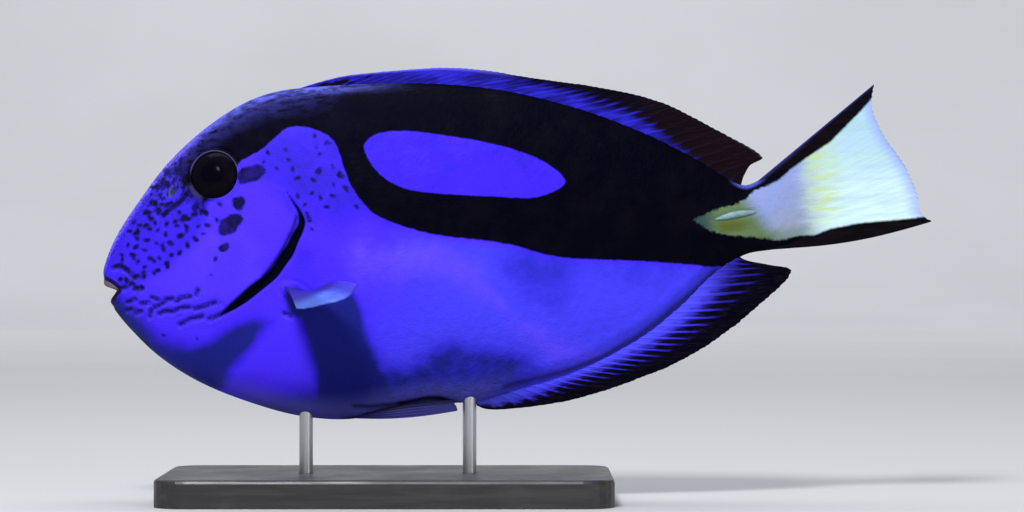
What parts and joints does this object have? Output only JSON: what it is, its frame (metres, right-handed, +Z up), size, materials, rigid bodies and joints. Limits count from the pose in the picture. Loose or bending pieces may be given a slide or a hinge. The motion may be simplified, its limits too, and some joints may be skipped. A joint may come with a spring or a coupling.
{
  "type": "regal blue tang fish model",
  "caption": "Life-size deep-bodied blue tang fish on rods above a flat base: flattened oval body, folded back and belly fins, fan tail, side fins rowed outwards.",
  "frame": {"origin": "Centre of the stand base's underside, on the surface that the model rests on.", "axes": "+X runs aft along the base, from the fish's snout towards its tail; +Y towards the fish's right side, away from the side that the picture shows; +Z up."},
  "size_m": [0.2405, 0.0998, 0.1254],
  "materials": {
    "skin_blue": "smooth satin skin, deep violet blue with a black band and a blue oval in it",
    "skin_tail": "smooth satin skin, black with a yellow wedge",
    "fin_blue": "ribbed fin, blue at the root and black at the rim",
    "fin_tail": "ribbed tail fin, pale yellow to white between two black edges",
    "fin_pale": "thin ribbed fin, pale blue and slightly see-through",
    "spine_pale": "smooth horny spine, pale blue",
    "eye": "polished, almost black",
    "stand_base": "dark satin-painted board",
    "stand_rod": "brushed round rod"
  },
  "bodies": {
    "root": {"head": "skin_blue", "torso": "skin_blue", "gill_cover_left": "skin_blue", "gill_cover_right": "skin_blue", "caudal_peduncle": "skin_tail", "dorsal_fin": "fin_blue", "anal_fin": "fin_blue", "pelvic_fin_left": "fin_blue", "pelvic_fin_right": "fin_blue", "caudal_fin": "fin_tail", "pectoral_fin_left": "fin_pale", "pectoral_fin_right": "fin_pale", "tail_spine_left": "spine_pale", "tail_spine_right": "spine_pale", "eye_left": "eye", "eye_right": "eye", "stand_base": "stand_base", "stand_rod_front": "stand_rod", "stand_rod_rear": "stand_rod"}
  },
  "joints": []
}
